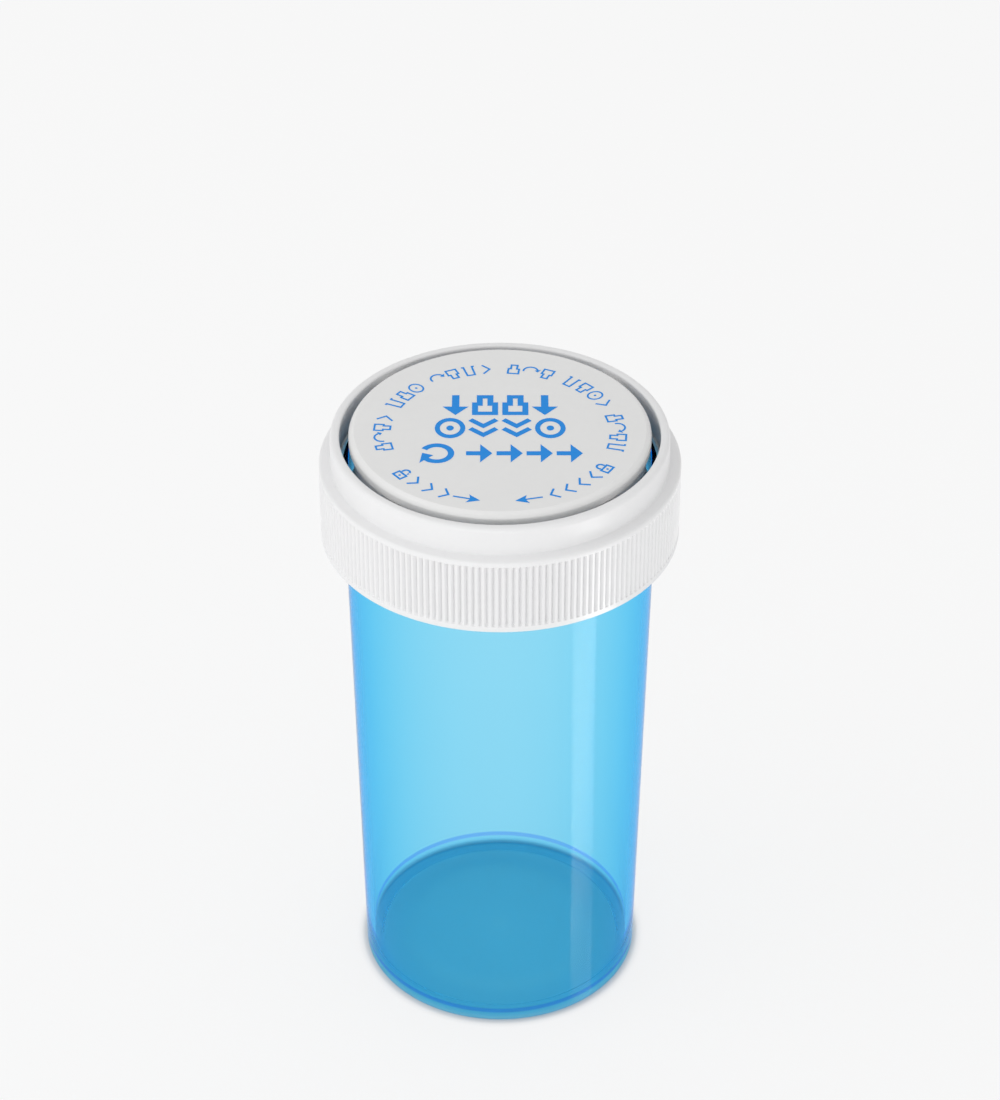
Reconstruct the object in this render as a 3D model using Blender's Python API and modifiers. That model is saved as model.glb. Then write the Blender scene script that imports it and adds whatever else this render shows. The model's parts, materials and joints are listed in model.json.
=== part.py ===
"""Prescription vial with a reversible, push-down-and-turn cap.

Five separate pieces: the vial, the seal that plugs its mouth, the wave
spring that holds the cap up against its lugs, the ribbed cap shell and the
round plug that closes the cap's top.  Everything stands on the XY plane,
+Z up, with every turned piece on the Z axis.
"""
import math

import bmesh
import bpy

MM = 0.001

# Driving dimensions, in metres.
GAP = 0.3 * MM                     # clearance kept between neighbouring pieces
TURN_STEPS = 60                    # facets round every turned piece

BODY_R_FOOT = 18.6 * MM            # vial outer radius just above the heel
BODY_R_NECK = 20.0 * MM            # vial outer radius at the neck
BODY_WALL = 1.05 * MM
HEEL = 0.4 * MM                    # round of the heel
FOOT_WIDTH = 1.6 * MM              # width of the ring that the vial stands on
FLOOR = 1.1 * MM                   # thickness of the vial's floor
FLOOR_RECESS = 0.7 * MM            # how far the floor's rim is lifted off the table
FLOOR_STEP = 0.4 * MM              # extra lift of the floor's middle
FLOOR_STEP_R = 14.0 * MM
GATE_R = 2.2 * MM                  # dimple round the moulding gate
NECK_Z = 73.2 * MM                 # top of the taper
RIM_Z = 79.6 * MM                  # top of the vial's rim
MOUTH_R = 19.2 * MM
LEDGE_R = 18.5 * MM                # bore of the ledge that carries the seal
LEDGE_Z = 75.6 * MM

LUG_COUNT = 6
LUG_HALF_DEG = 8.0
LUG_Z = 73.6 * MM                  # underside of the vial's lugs
LUG_HEIGHT = 1.4 * MM
LUG_R = 21.3 * MM
BITE = 0.3 * MM                    # how far a lug is rooted in its wall
TOOTH_DROP = 1.0 * MM              # how far the lock teeth hang below the lugs
TOOTH_HALF_DEG = 0.75
PAWL_HALF_DEG = 1.5
PAWL_DEG = 4.0                     # pawl's angle from its lug's middle
LOCK_PLAY_DEG = 0.3                # turn between a pawl and its tooth at rest
STOP_HALF_DEG = 0.7
STOP_PLAY_DEG = 0.9
STOP_DROP = 3.0 * MM

PUSH_TRAVEL = 1.3 * MM             # how far the cap is pushed down to free the lock

SKIRT_Z = 69.0 * MM                # lower edge of the cap
SKIRT_R = 23.0 * MM
SKIRT_BORE_R = 21.6 * MM
SKIRT_WALL_R = 22.5 * MM           # wall that the ribs stand on
RIB_COUNT = 174
RIB_CREST_R = 22.95 * MM
RIB_ROOT_R = 22.6 * MM
RIB_LOW_Z = 70.2 * MM
RIB_HIGH_Z = 79.15 * MM
SHOULDER_Z = 80.0 * MM             # where the shoulder meets the collar
COLLAR_R = 21.5 * MM
COLLAR_BORE_R = 20.3 * MM
COLLAR_Z = 83.8 * MM               # top of the collar
ROOF_Z = 78.7 * MM                 # ceiling over the lugs

HUB_R = 18.6 * MM
HUB_BORE_R = 11.9 * MM
HUB_LOW_Z = 80.2 * MM
HUB_HIGH_Z = 82.2 * MM
SPOKE_COUNT = 4
SPOKE_HALF_DEG = 5.0
SPOKE_THICK = 0.9 * MM

PLUG_R = 19.15 * MM
PLUG_FACE_R = 18.4 * MM            # flat, printed part of the top
PLUG_TOP_Z = 84.4 * MM
PLUG_FLOOR = 1.2 * MM
SPIGOT_WALL = 1.2 * MM
SPIGOT_DEPTH = 1.9 * MM

SEAL_R = 18.9 * MM
SEAL_TOP_Z = 77.4 * MM
SEAL_LIP_DEPTH = 1.9 * MM
SEAL_LIP_WALL = 0.95 * MM
SEAL_FLOOR = 0.8 * MM

SPRING_R = 17.0 * MM
SPRING_BORE_R = 13.6 * MM
SPRING_THICK = 0.5 * MM
SPRING_WAVES = 6

PARTS = "prescription_vial"
TOOLS = "cutters"


def collection(name):
    """Return the named collection, made and linked if it is new."""
    found = bpy.data.collections.get(name)
    if found is None:
        found = bpy.data.collections.new(name)
        bpy.context.scene.collection.children.link(found)
    return found


def material(name, colour, roughness, alpha=1.0):
    """A Principled material with one colour."""
    mat = bpy.data.materials.new(name)
    mat.use_nodes = True
    shader = mat.node_tree.nodes["Principled BSDF"]
    shader.inputs["Base Color"].default_value = (*colour, 1.0)
    shader.inputs["Roughness"].default_value = roughness
    shader.inputs["Metallic"].default_value = 0.0
    shader.inputs["Alpha"].default_value = alpha
    return mat


def arc(centre_r, centre_z, radius, start_deg, end_deg, parts=3):
    """Points of a profile's round, from one angle to another."""
    points = []
    for i in range(parts + 1):
        angle = math.radians(start_deg + (end_deg - start_deg) * i / parts)
        points.append((centre_r + radius * math.cos(angle), centre_z + radius * math.sin(angle)))
    return points


def turned(name, profile, base_z=0.0, closed=False):
    """Turn a profile of (radius, height) points about Z.

    The profile runs down its outer side.  The object's origin is on the axis
    at base_z.
    """
    mesh = bpy.data.meshes.new(name)
    verts = [(r, 0.0, z - base_z) for r, z in profile]
    edges = [(i, i + 1) for i in range(len(verts) - 1)]
    if closed:
        edges.append((len(verts) - 1, 0))
    mesh.from_pydata(verts, edges, [])
    piece = bpy.data.objects.new(name, mesh)
    piece.location = (0.0, 0.0, base_z)
    collection(PARTS).objects.link(piece)
    screw = piece.modifiers.new("turn", "SCREW")
    screw.angle = math.tau
    screw.steps = TURN_STEPS
    screw.render_steps = TURN_STEPS
    screw.use_merge_vertices = True
    screw.merge_threshold = 0.00001
    return piece


def outline_solid(name, loops, low_z, high_z):
    """A closed mesh from flat outlines, from one height to another."""
    curve = bpy.data.curves.new(name, "CURVE")
    curve.dimensions = "2D"
    curve.fill_mode = "BOTH"
    curve.extrude = (high_z - low_z) / 2
    for loop in loops:
        spline = curve.splines.new("POLY")
        spline.points.add(len(loop) - 1)
        for point, (x, y) in zip(spline.points, loop):
            point.co = (x, y, 0.0, 1.0)
        spline.use_cyclic_u = True
    flat = bpy.data.objects.new(name, curve)
    flat.location = (0.0, 0.0, (low_z + high_z) / 2)
    collection(TOOLS).objects.link(flat)
    bpy.context.view_layer.update()
    mesh = bpy.data.meshes.new_from_object(flat.evaluated_get(bpy.context.evaluated_depsgraph_get()))
    work = bmesh.new()
    work.from_mesh(mesh)
    bmesh.ops.remove_doubles(work, verts=work.verts, dist=0.000001)
    bmesh.ops.recalc_face_normals(work, faces=work.faces)
    work.to_mesh(mesh)
    work.free()
    solid = bpy.data.objects.new(name, mesh)
    solid.matrix_world = flat.matrix_world
    bpy.data.objects.remove(flat)
    collection(TOOLS).objects.link(solid)
    solid.hide_render = True
    solid.display_type = "WIRE"
    return solid


def ring_points(radius, parts):
    """Corners of a circle."""
    return [(radius * math.cos(math.tau * i / parts), radius * math.sin(math.tau * i / parts))
            for i in range(parts)]


def sector(inner_r, outer_r, middle_deg, half_deg, parts=4):
    """Outline of a piece of a ring."""
    outer = arc(0.0, 0.0, outer_r, middle_deg - half_deg, middle_deg + half_deg, parts)
    inner = arc(0.0, 0.0, inner_r, middle_deg + half_deg, middle_deg - half_deg, parts)
    return outer + inner


def sectors(name, inner_r, outer_r, offset_deg, half_deg, low_z, high_z, count=LUG_COUNT, parts=4):
    """Equal blocks spaced round a ring, as one tool."""
    loops = [sector(inner_r, outer_r, offset_deg + 360.0 * k / count, half_deg, parts)
             for k in range(count)]
    return outline_solid(name, loops, low_z, high_z)


def unite(piece, tool):
    """Join a tool's solids to a piece."""
    join = piece.modifiers.new(tool.name, "BOOLEAN")
    join.operation = "UNION"
    join.solver = "EXACT"
    join.object = tool


def settle(piece, mat):
    """Give a piece its material, and shade its round faces smooth."""
    bpy.context.view_layer.update()
    mesh = bpy.data.meshes.new_from_object(piece.evaluated_get(bpy.context.evaluated_depsgraph_get()))
    mesh.name = piece.name
    mesh.materials.clear()
    mesh.materials.append(mat)
    mesh.shade_smooth()
    mesh.set_sharp_from_angle(angle=math.radians(30.0))
    piece.modifiers.clear()
    piece.data = mesh


def vial_body(mat):
    """The tapered vial, its stepped floor, seal ledge, lugs and lock teeth."""
    floor_z = FLOOR_RECESS
    middle_z = FLOOR_RECESS + FLOOR_STEP
    foot_out = BODY_R_FOOT - HEEL
    foot_in = foot_out - FOOT_WIDTH
    bore_foot = BODY_R_FOOT - BODY_WALL
    bore_neck = BODY_R_NECK - BODY_WALL
    inner_corner = 0.9 * MM
    slope = 1.9 * MM
    inside = [
        (0.0, middle_z + FLOOR),
        (FLOOR_STEP_R - slope, middle_z + FLOOR),
        (FLOOR_STEP_R, floor_z + FLOOR),
        *arc(bore_foot - inner_corner, floor_z + FLOOR + inner_corner, inner_corner, -90, 0),
        (bore_neck, NECK_Z - 0.8 * MM),
        (LEDGE_R, LEDGE_Z - 1.2 * MM),
        (LEDGE_R, LEDGE_Z),
        (MOUTH_R, LEDGE_Z),
    ]
    lip = (BODY_R_NECK - MOUTH_R) / 2
    rim = arc(MOUTH_R + lip, RIM_Z - lip, lip, 180, 0, 6)
    outside = [
        (BODY_R_NECK, NECK_Z),
        *arc(BODY_R_FOOT - HEEL, HEEL, HEEL, 0, -90),
        (foot_in, 0.0),
        (foot_in - 0.4 * MM, floor_z),
        (FLOOR_STEP_R, floor_z),
        (FLOOR_STEP_R - slope, middle_z),
        (GATE_R, middle_z),
        (GATE_R - 0.3 * MM, middle_z + 0.3 * MM),
        (GATE_R / 3, middle_z + 0.3 * MM),
        (GATE_R / 4, middle_z),
        (0.0, middle_z),
    ]
    piece = turned("vial_body", inside + rim + outside)
    root = BODY_R_NECK - BITE
    unite(piece, sectors("vial_lugs", root, LUG_R, 0.0, LUG_HALF_DEG, LUG_Z, LUG_Z + LUG_HEIGHT))
    tooth_deg = PAWL_DEG + PAWL_HALF_DEG + LOCK_PLAY_DEG + TOOTH_HALF_DEG
    unite(piece, sectors("vial_lock_teeth", root, LUG_R - 0.2 * MM, tooth_deg, TOOTH_HALF_DEG,
                         LUG_Z - TOOTH_DROP, LUG_Z + 0.2 * MM, parts=1))
    stop_deg = -LUG_HALF_DEG - STOP_PLAY_DEG - STOP_HALF_DEG
    unite(piece, sectors("vial_stops", root, LUG_R, stop_deg, STOP_HALF_DEG,
                         LUG_Z - STOP_DROP, LUG_Z + LUG_HEIGHT - 0.2 * MM, parts=1))
    settle(piece, mat)
    return piece


def seal_liner(mat):
    """The soft plug that sits on the ledge and seals the mouth."""
    seat_z = LEDGE_Z + GAP
    lip_r = LEDGE_R - GAP
    lip_z = seat_z - SEAL_LIP_DEPTH
    ceiling_z = SEAL_TOP_Z - SEAL_FLOOR
    edge = 0.25 * MM
    profile = [
        (0.0, SEAL_TOP_Z),
        *arc(SEAL_R - edge, SEAL_TOP_Z - edge, edge, 90, 0, 2),
        (SEAL_R, seat_z),
        (lip_r, seat_z),
        (lip_r, lip_z + edge),
        (lip_r - edge, lip_z),
        (lip_r - SEAL_LIP_WALL, lip_z),
        (lip_r - SEAL_LIP_WALL, ceiling_z),
        (0.0, ceiling_z),
    ]
    piece = turned("seal_liner", profile, base_z=seat_z)
    settle(piece, mat)
    return piece


def wave_spring(mat):
    """A flat ring bent into waves, free to flatten when the cap is pushed."""
    low_z = SEAL_TOP_Z + GAP
    high_z = HUB_LOW_Z - GAP
    middle_z = (low_z + high_z) / 2
    swing = (high_z - low_z - SPRING_THICK) / 2
    profile = [
        (SPRING_R, middle_z + SPRING_THICK / 2),
        (SPRING_R, middle_z - SPRING_THICK / 2),
        (SPRING_BORE_R, middle_z - SPRING_THICK / 2),
        (SPRING_BORE_R, middle_z + SPRING_THICK / 2),
    ]
    piece = turned("wave_spring", profile, base_z=middle_z, closed=True)
    settle(piece, mat)
    for vert in piece.data.vertices:
        vert.co.z += swing * math.cos(SPRING_WAVES * math.atan2(vert.co.y, vert.co.x))
    return piece


def cap_shell(mat):
    """Ribbed skirt, shoulder, collar, hub and spokes, with the cap's lugs and pawls."""
    top_round = 0.5 * MM
    edge = 0.35 * MM
    chamfer = 0.15 * MM
    corner = 0.45 * MM
    shoulder_fall = 0.2 * MM
    skirt = [
        *arc(COLLAR_R - top_round, COLLAR_Z - top_round, top_round, 90, 0),
        (COLLAR_R, SHOULDER_Z + 0.1 * MM),
        (COLLAR_R + 0.1 * MM, SHOULDER_Z),
        *arc(SKIRT_R - corner, SHOULDER_Z - shoulder_fall - corner, corner, 90, 0),
        (SKIRT_R, RIB_HIGH_Z),
        (SKIRT_WALL_R, RIB_HIGH_Z),
        (SKIRT_WALL_R, RIB_LOW_Z),
        (SKIRT_R, RIB_LOW_Z),
        *arc(SKIRT_R - edge, SKIRT_Z + edge, edge, 0, -90, 2),
        (SKIRT_BORE_R + chamfer, SKIRT_Z),
        (SKIRT_BORE_R, SKIRT_Z + chamfer),
        (SKIRT_BORE_R, ROOF_Z),
        (COLLAR_BORE_R, ROOF_Z),
        (COLLAR_BORE_R, COLLAR_Z - 2 * chamfer),
        (COLLAR_BORE_R + 2 * chamfer, COLLAR_Z),
    ]
    piece = turned("cap_shell", skirt, base_z=SKIRT_Z, closed=True)
    zigzag = []
    for i in range(RIB_COUNT):
        for r, part in ((RIB_CREST_R, 0.0), (RIB_ROOT_R, 0.5)):
            angle = math.tau * (i + part) / RIB_COUNT
            zigzag.append((r * math.cos(angle), r * math.sin(angle)))
    rib_root = ring_points((SKIRT_WALL_R + SKIRT_BORE_R) / 2, TURN_STEPS)
    ribs = outline_solid("cap_ribs", [zigzag, rib_root], RIB_LOW_Z - 0.2 * MM, RIB_HIGH_Z + 0.2 * MM)
    hub = outline_solid("cap_hub", [ring_points(HUB_R, TURN_STEPS), ring_points(HUB_BORE_R, TURN_STEPS)],
                        HUB_LOW_Z, HUB_HIGH_Z)
    spoke_z = RIM_Z + PUSH_TRAVEL + GAP
    spokes = sectors("cap_spokes", HUB_R - BITE, COLLAR_BORE_R + BITE, 45.0, SPOKE_HALF_DEG,
                     spoke_z, spoke_z + SPOKE_THICK, count=SPOKE_COUNT, parts=2)
    unite(piece, spokes)
    unite(piece, hub)
    pawl_top = LUG_Z - GAP
    lug_top = LUG_Z - TOOTH_DROP - GAP
    lug_in = BODY_R_NECK + 1.5 * GAP
    unite(piece, sectors("cap_lugs", lug_in, SKIRT_BORE_R + BITE, 0.0, LUG_HALF_DEG,
                         lug_top - 1.3 * MM, lug_top))
    unite(piece, sectors("cap_pawls", lug_in + 0.1 * MM, SKIRT_BORE_R + BITE / 2, PAWL_DEG, PAWL_HALF_DEG,
                         lug_top - 0.2 * MM, pawl_top, parts=1))
    unite(piece, ribs)
    settle(piece, mat)
    return piece


def top_plug(mat):
    """The round disc in the collar, with the spigot that centres it in the hub."""
    seat_z = HUB_HIGH_Z + GAP
    edge = PLUG_R - PLUG_FACE_R
    spigot_r = HUB_BORE_R - GAP
    spigot_z = seat_z - SPIGOT_DEPTH
    ceiling_z = PLUG_TOP_Z - PLUG_FLOOR
    chamfer = 0.15 * MM
    profile = [
        (0.0, PLUG_TOP_Z),
        *arc(PLUG_R - edge, PLUG_TOP_Z - edge, edge, 90, 0, 4),
        (PLUG_R, seat_z + chamfer),
        (PLUG_R - chamfer, seat_z),
        (spigot_r, seat_z),
        (spigot_r, spigot_z + chamfer),
        (spigot_r - chamfer, spigot_z),
        (spigot_r - SPIGOT_WALL, spigot_z),
        (spigot_r - SPIGOT_WALL, ceiling_z),
        (0.0, ceiling_z),
    ]
    piece = turned("top_plug", profile, base_z=seat_z)
    settle(piece, mat)
    return piece


def hold(child, parent):
    """Parent a piece and leave it where it stands."""
    bpy.context.view_layer.update()
    child.parent = parent
    child.matrix_parent_inverse = parent.matrix_world.inverted()


def main():
    for old in list(bpy.data.objects):
        bpy.data.objects.remove(old, do_unlink=True)
    blue = material("vial_blue", (0.10, 0.52, 0.80), 0.18, 0.55)
    white = material("cap_white", (0.86, 0.87, 0.88), 0.35)
    face = material("plug_white", (0.78, 0.79, 0.80), 0.40)
    clear = material("seal_clear", (0.80, 0.84, 0.86), 0.30)
    spring_white = material("spring_white", (0.74, 0.75, 0.76), 0.45)
    vial_body(blue)
    axis = bpy.data.objects.new("closure_axis", None)
    collection(PARTS).objects.link(axis)
    hold(seal_liner(clear), axis)
    hold(wave_spring(spring_white), axis)
    shell = cap_shell(white)
    hold(shell, axis)
    hold(top_plug(face), shell)


main()
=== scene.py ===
"""A prescription vial with a push-down-and-turn cap, finished for a studio picture.

Run as a script, it dresses the fixed frame: the tinted vial, its seal and
wave spring, the ribbed cap and the printed disc in the cap's collar.
"""
import json
import math

import bmesh
import bpy
import numpy as np
from bpy.props import FloatProperty, FloatVectorProperty, IntProperty, PointerProperty
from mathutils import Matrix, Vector


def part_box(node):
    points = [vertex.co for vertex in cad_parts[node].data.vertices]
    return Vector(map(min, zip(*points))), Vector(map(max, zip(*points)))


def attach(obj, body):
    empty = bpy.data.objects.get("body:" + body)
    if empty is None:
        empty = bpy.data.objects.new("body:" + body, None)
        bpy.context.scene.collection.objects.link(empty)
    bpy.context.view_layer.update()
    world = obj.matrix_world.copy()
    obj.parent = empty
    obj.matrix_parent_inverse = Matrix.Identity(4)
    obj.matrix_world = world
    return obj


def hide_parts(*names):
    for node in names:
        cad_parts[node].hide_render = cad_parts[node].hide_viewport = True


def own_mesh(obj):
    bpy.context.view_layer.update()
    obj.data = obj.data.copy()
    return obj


bl_info = {
    "name": "Prescription vial",
    "version": (1, 0, 0),
    "blender": (4, 5, 0),
    "location": "3D View > Sidebar > Vial",
    "description": "Finishes a push-down-and-turn prescription vial for a studio picture",
    "category": "Object",
}

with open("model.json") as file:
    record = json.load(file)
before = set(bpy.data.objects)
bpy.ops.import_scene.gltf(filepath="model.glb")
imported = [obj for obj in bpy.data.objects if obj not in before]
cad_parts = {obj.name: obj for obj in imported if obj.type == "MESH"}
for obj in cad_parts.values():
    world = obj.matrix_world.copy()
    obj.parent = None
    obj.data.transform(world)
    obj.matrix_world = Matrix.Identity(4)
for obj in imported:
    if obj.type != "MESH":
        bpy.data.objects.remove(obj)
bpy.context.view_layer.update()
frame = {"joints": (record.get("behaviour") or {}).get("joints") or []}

MM = 0.001

# Places that the frame gives: lowest and highest corners of the solids.
VIAL_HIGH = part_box("vial_body")[1]
SEAL_LOW, SEAL_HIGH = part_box("seal_liner")
SPRING_LOW, SPRING_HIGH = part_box("wave_spring")
CAP_LOW, CAP_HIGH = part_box("cap_shell")
DISC_LOW, DISC_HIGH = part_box("top_plug")
PUSH_TRAVEL = next(j["range_m"][1] for j in frame["joints"] if j["name"] == "cap_push")

LUG_COUNT = 6
RIB_RUN = 0.35 * MM                # over which a groove between ribs runs out
STEP = 0.06 * MM                   # run of a steep moulded edge
SHARP_EDGE = math.radians(32.0)    # edges that bend more than this shade sharp
POLE_WELD = 0.000001 * MM          # joins the points of an outline's ends on the axis


def length(name, description, millimetres):
    """A length property whose default is given in millimetres."""
    return FloatProperty(name=name, description=description, default=millimetres * MM, min=0.0,
                         precision=5, unit="LENGTH")


def colour(name, description, default):
    """A colour property."""
    return FloatVectorProperty(name=name, description=description, default=default, min=0.0, max=1.0,
                               subtype="COLOR", size=3)


class VialSizes(bpy.types.PropertyGroup):
    """Sizes and colours of the vial."""

    foot_radius: length("Foot radius", "Outside of the body just above the heel", 18.6)
    neck_radius: length("Neck radius", "Outside of the neck under the cap", 20.0)
    wall: length("Wall", "Thickness of the body's wall", 1.05)
    heel: length("Heel", "Round between the body and the ring it stands on", 0.4)
    foot_width: length("Foot width", "Width of the ring that the vial stands on", 1.6)
    floor: length("Floor", "Thickness of the floor", 1.1)
    floor_recess: length("Floor recess", "How far the floor is lifted off the table", 0.7)
    floor_step: length("Floor step", "Extra lift of the floor's middle", 0.4)
    floor_step_radius: length("Floor step radius", "Where the floor's middle begins", 14.0)
    mouth_radius: length("Mouth radius", "Bore of the rim", 19.2)
    ledge_radius: length("Ledge radius", "Bore of the ledge that carries the seal", 18.5)
    ledge_height: length("Ledge height", "Height of the ledge that carries the seal", 75.6)
    neck_height: length("Neck height", "Height at which the taper ends", 73.2)
    lug_height: length("Lug height", "Underside of the lugs", 73.6)
    lug_thickness: length("Lug thickness", "Height of a lug", 1.4)
    tint: colour("Tint", "Colour that the plastic lets through", (0.0, 0.775, 0.985))
    density: FloatProperty(name="Depth of tint", description="How strongly the plastic takes off light",
                           default=470.0, min=0.0)


class CapSizes(bpy.types.PropertyGroup):
    """Sizes and colours of the cap."""

    skirt_bore: length("Skirt bore", "Inside of the skirt", 21.6)
    collar_radius: length("Collar radius", "Outside of the collar", 21.5)
    collar_bore: length("Collar bore", "Inside of the collar", 20.3)
    shoulder_height: length("Shoulder height", "Where the shoulder meets the collar", 80.0)
    roof_height: length("Roof height", "Ceiling over the lugs", 78.7)
    rib_low: length("Rib foot", "Lower end of the ribs", 70.1)
    rib_high: length("Rib head", "Upper end of the ribs", 79.15)
    rib_depth: length("Rib depth", "Depth of the grooves between the ribs", 0.46)
    rib_count: IntProperty(name="Ribs", description="Number of ribs round the skirt", default=174,
                           min=12)
    hub_radius: length("Hub radius", "Outside of the hub", 18.6)
    hub_bore: length("Hub bore", "Bore of the hub", 11.9)
    face_radius: length("Disc face radius", "Flat part of the printed disc", 18.4)
    white: colour("Cap white", "Colour of the cap", (0.88, 0.88, 0.885))
    disc_white: colour("Disc white", "Colour of the printed disc", (0.87, 0.87, 0.865))
    ink: colour("Ink", "Colour of the print", (0.0, 0.245, 0.74))


class StageSizes(bpy.types.PropertyGroup):
    """The camera, the lights and the floor."""

    lens: FloatProperty(name="Lens", description="Focal length in millimetres", default=110.29,
                        min=10.0)
    pitch: FloatProperty(name="Pitch", description="How far the camera looks down",
                         default=math.radians(35.54), subtype="ANGLE")
    distance: length("Distance", "From the vial's axis to the camera along the floor", 354.76)
    height: length("Camera height", "Height of the camera over the floor", 318.84)
    daylight: FloatProperty(name="Daylight", description="Strength of the light from all round",
                            default=0.70, min=0.0)
    key: FloatProperty(name="Key", description="Power of the soft light at the upper left", default=0.6,
                       min=0.0)
    front: FloatProperty(name="Front", description="Power of the wide soft light in front", default=1.65,
                         min=0.0)
    streak: FloatProperty(name="Streak", description="Strength of the streak on the vial's wall",
                          default=15.0, min=0.0)
    floor_glow: FloatProperty(name="Floor glow", description="Light that the white floor gives off",
                              default=0.80, min=0.0)
    floor_white: colour("Floor white", "Colour of the open floor", (0.17, 0.17, 0.17))
    # The floor under the vial, where its glow is cut off for painted shade, takes this colour.
    floor_shade: colour("Floor shade", "Colour of the floor under the vial", (0.80, 0.80, 0.80))
    # Painted light: a tinted glow under the vial stands in for light that falls through it.
    painted_through_light: colour("Floor tint", "Light that falls through the vial on the floor",
                       (0.16, 0.285, 0.275))


class Value:
    """A socket's value: sums, differences, products and quotients of it add Math nodes."""

    def __init__(self, finish, socket):
        self.finish = finish
        self.socket = socket

    def maths(self, operation, first, second):
        return self.finish.node("ShaderNodeMath", {"operation": operation}, {0: first, 1: second})

    def __add__(self, other):
        return self.maths("ADD", self, other)

    def __radd__(self, other):
        return self.maths("ADD", other, self)

    def __sub__(self, other):
        return self.maths("SUBTRACT", self, other)

    def __rsub__(self, other):
        return self.maths("SUBTRACT", other, self)

    def __mul__(self, other):
        return self.maths("MULTIPLY", self, other)

    def __rmul__(self, other):
        return self.maths("MULTIPLY", other, self)

    def __truediv__(self, other):
        return self.maths("DIVIDE", self, other)

    def __rtruediv__(self, other):
        return self.maths("DIVIDE", other, self)


class Finish:
    """A material and the nodes that it is made of."""

    def __init__(self, name):
        self.material = bpy.data.materials.new(name)
        self.material.use_nodes = True
        self.tree = self.material.node_tree
        self.tree.nodes.clear()
        self.output = self.tree.nodes.new("ShaderNodeOutputMaterial")

    def node(self, kind, settings=None, sockets=None, out=0):
        """Add a node: its settings first, then the values or links of its sockets."""
        made = self.tree.nodes.new(kind)
        for name, value in (settings or {}).items():
            if name == "stops":
                self.set_stops(made.color_ramp, value)
            else:
                setattr(made, name, value)
        for name, value in (sockets or {}).items():
            self.feed(made.inputs[name], value)
        return Value(self, made.outputs[out])

    def feed(self, socket, value):
        """Link a Value to a socket, or set the socket's own number or colour."""
        if isinstance(value, Value):
            self.tree.links.new(value.socket, socket)
        elif hasattr(value, "__len__") and len(value) == 3 and socket.type == "RGBA":
            socket.default_value = (*value, 1.0)
        else:
            socket.default_value = value

    @staticmethod
    def set_stops(ramp, stops):
        """Give a colour ramp its stops, as pairs of place and grey."""
        while len(ramp.elements) > 1:
            ramp.elements.remove(ramp.elements[-1])
        ramp.elements[0].position, grey = stops[0]
        ramp.elements[0].color = (grey, grey, grey, 1.0)
        for place, grey in stops[1:]:
            ramp.elements.new(place).color = (grey, grey, grey, 1.0)

    def place(self):
        """The point on the piece, in metres."""
        return self.node("ShaderNodeTexCoord", out="Object")

    def part_of(self, place, axis):
        """One coordinate of a point."""
        return self.node("ShaderNodeSeparateXYZ", {}, {0: place}, out=axis)

    def length_of(self, place):
        """How far a point is from the origin."""
        return self.node("ShaderNodeVectorMath", {"operation": "LENGTH"}, {0: place}, out="Value")

    def ramp(self, stops, share):
        """The grey that a colour ramp has at a share of its length."""
        return self.node("ShaderNodeValToRGB", {"stops": stops}, {"Fac": share}, out="Color")

    def stretched(self, place, scale):
        """The point, scaled differently along each axis."""
        return self.node("ShaderNodeVectorMath", {"operation": "MULTIPLY"}, {0: place, 1: scale})

    def noise(self, place, grain_size, detail=2.0, roughness=0.5):
        """Cloudy noise whose features are about grain_size across."""
        return self.node("ShaderNodeTexNoise", {},
                         {"Vector": place, "Scale": 1.0 / grain_size, "Detail": detail,
                          "Roughness": roughness})

    def mix(self, factor, first, second):
        """One colour turning into another, by the Mix node's sockets for colours."""
        return self.node("ShaderNodeMix", {"data_type": "RGBA"}, {0: factor, 6: first, 7: second},
                         out=2)

    def bump(self, height, depth, strength):
        """A surface raised by height times depth metres."""
        return self.node("ShaderNodeBump", {},
                         {"Height": height, "Distance": depth, "Strength": strength})

    def principled(self, sockets):
        """Finish the surface with a Principled shader."""
        self.feed(self.output.inputs["Surface"], self.node("ShaderNodeBsdfPrincipled", {}, sockets))

    def glow(self, tone, strength):
        """Make the surface a plain source of light."""
        shader = self.node("ShaderNodeEmission", {}, {"Color": tone, "Strength": strength})
        self.feed(self.output.inputs["Surface"], shader)


# Tints painted on the foot's outer face, by share of FOOT_BAND: a dark line of painted shade, and a
# bluer rim under it painted for light seen through the ring.
FOOT_BAND = 3.0 * MM
FOOT_SHADE_LINE = ((0.0, 0.0), (0.46, 0.0), (0.53, 1.0), (0.70, 1.0), (0.76, 0.0))
FOOT_LIT_RIM = ((0.0, 1.0), (0.48, 1.0), (0.52, 0.0))
SHADE_LINE_TINT = (0.35, 0.45, 1.0)
LIT_RIM_TINT = (0.6, 0.88, 1.0)
CLEAR_INDEX = 1.06                 # low, so that the wall hardly bends or mirrors what is behind it
GLOSS_INDEX = 1.5


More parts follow.
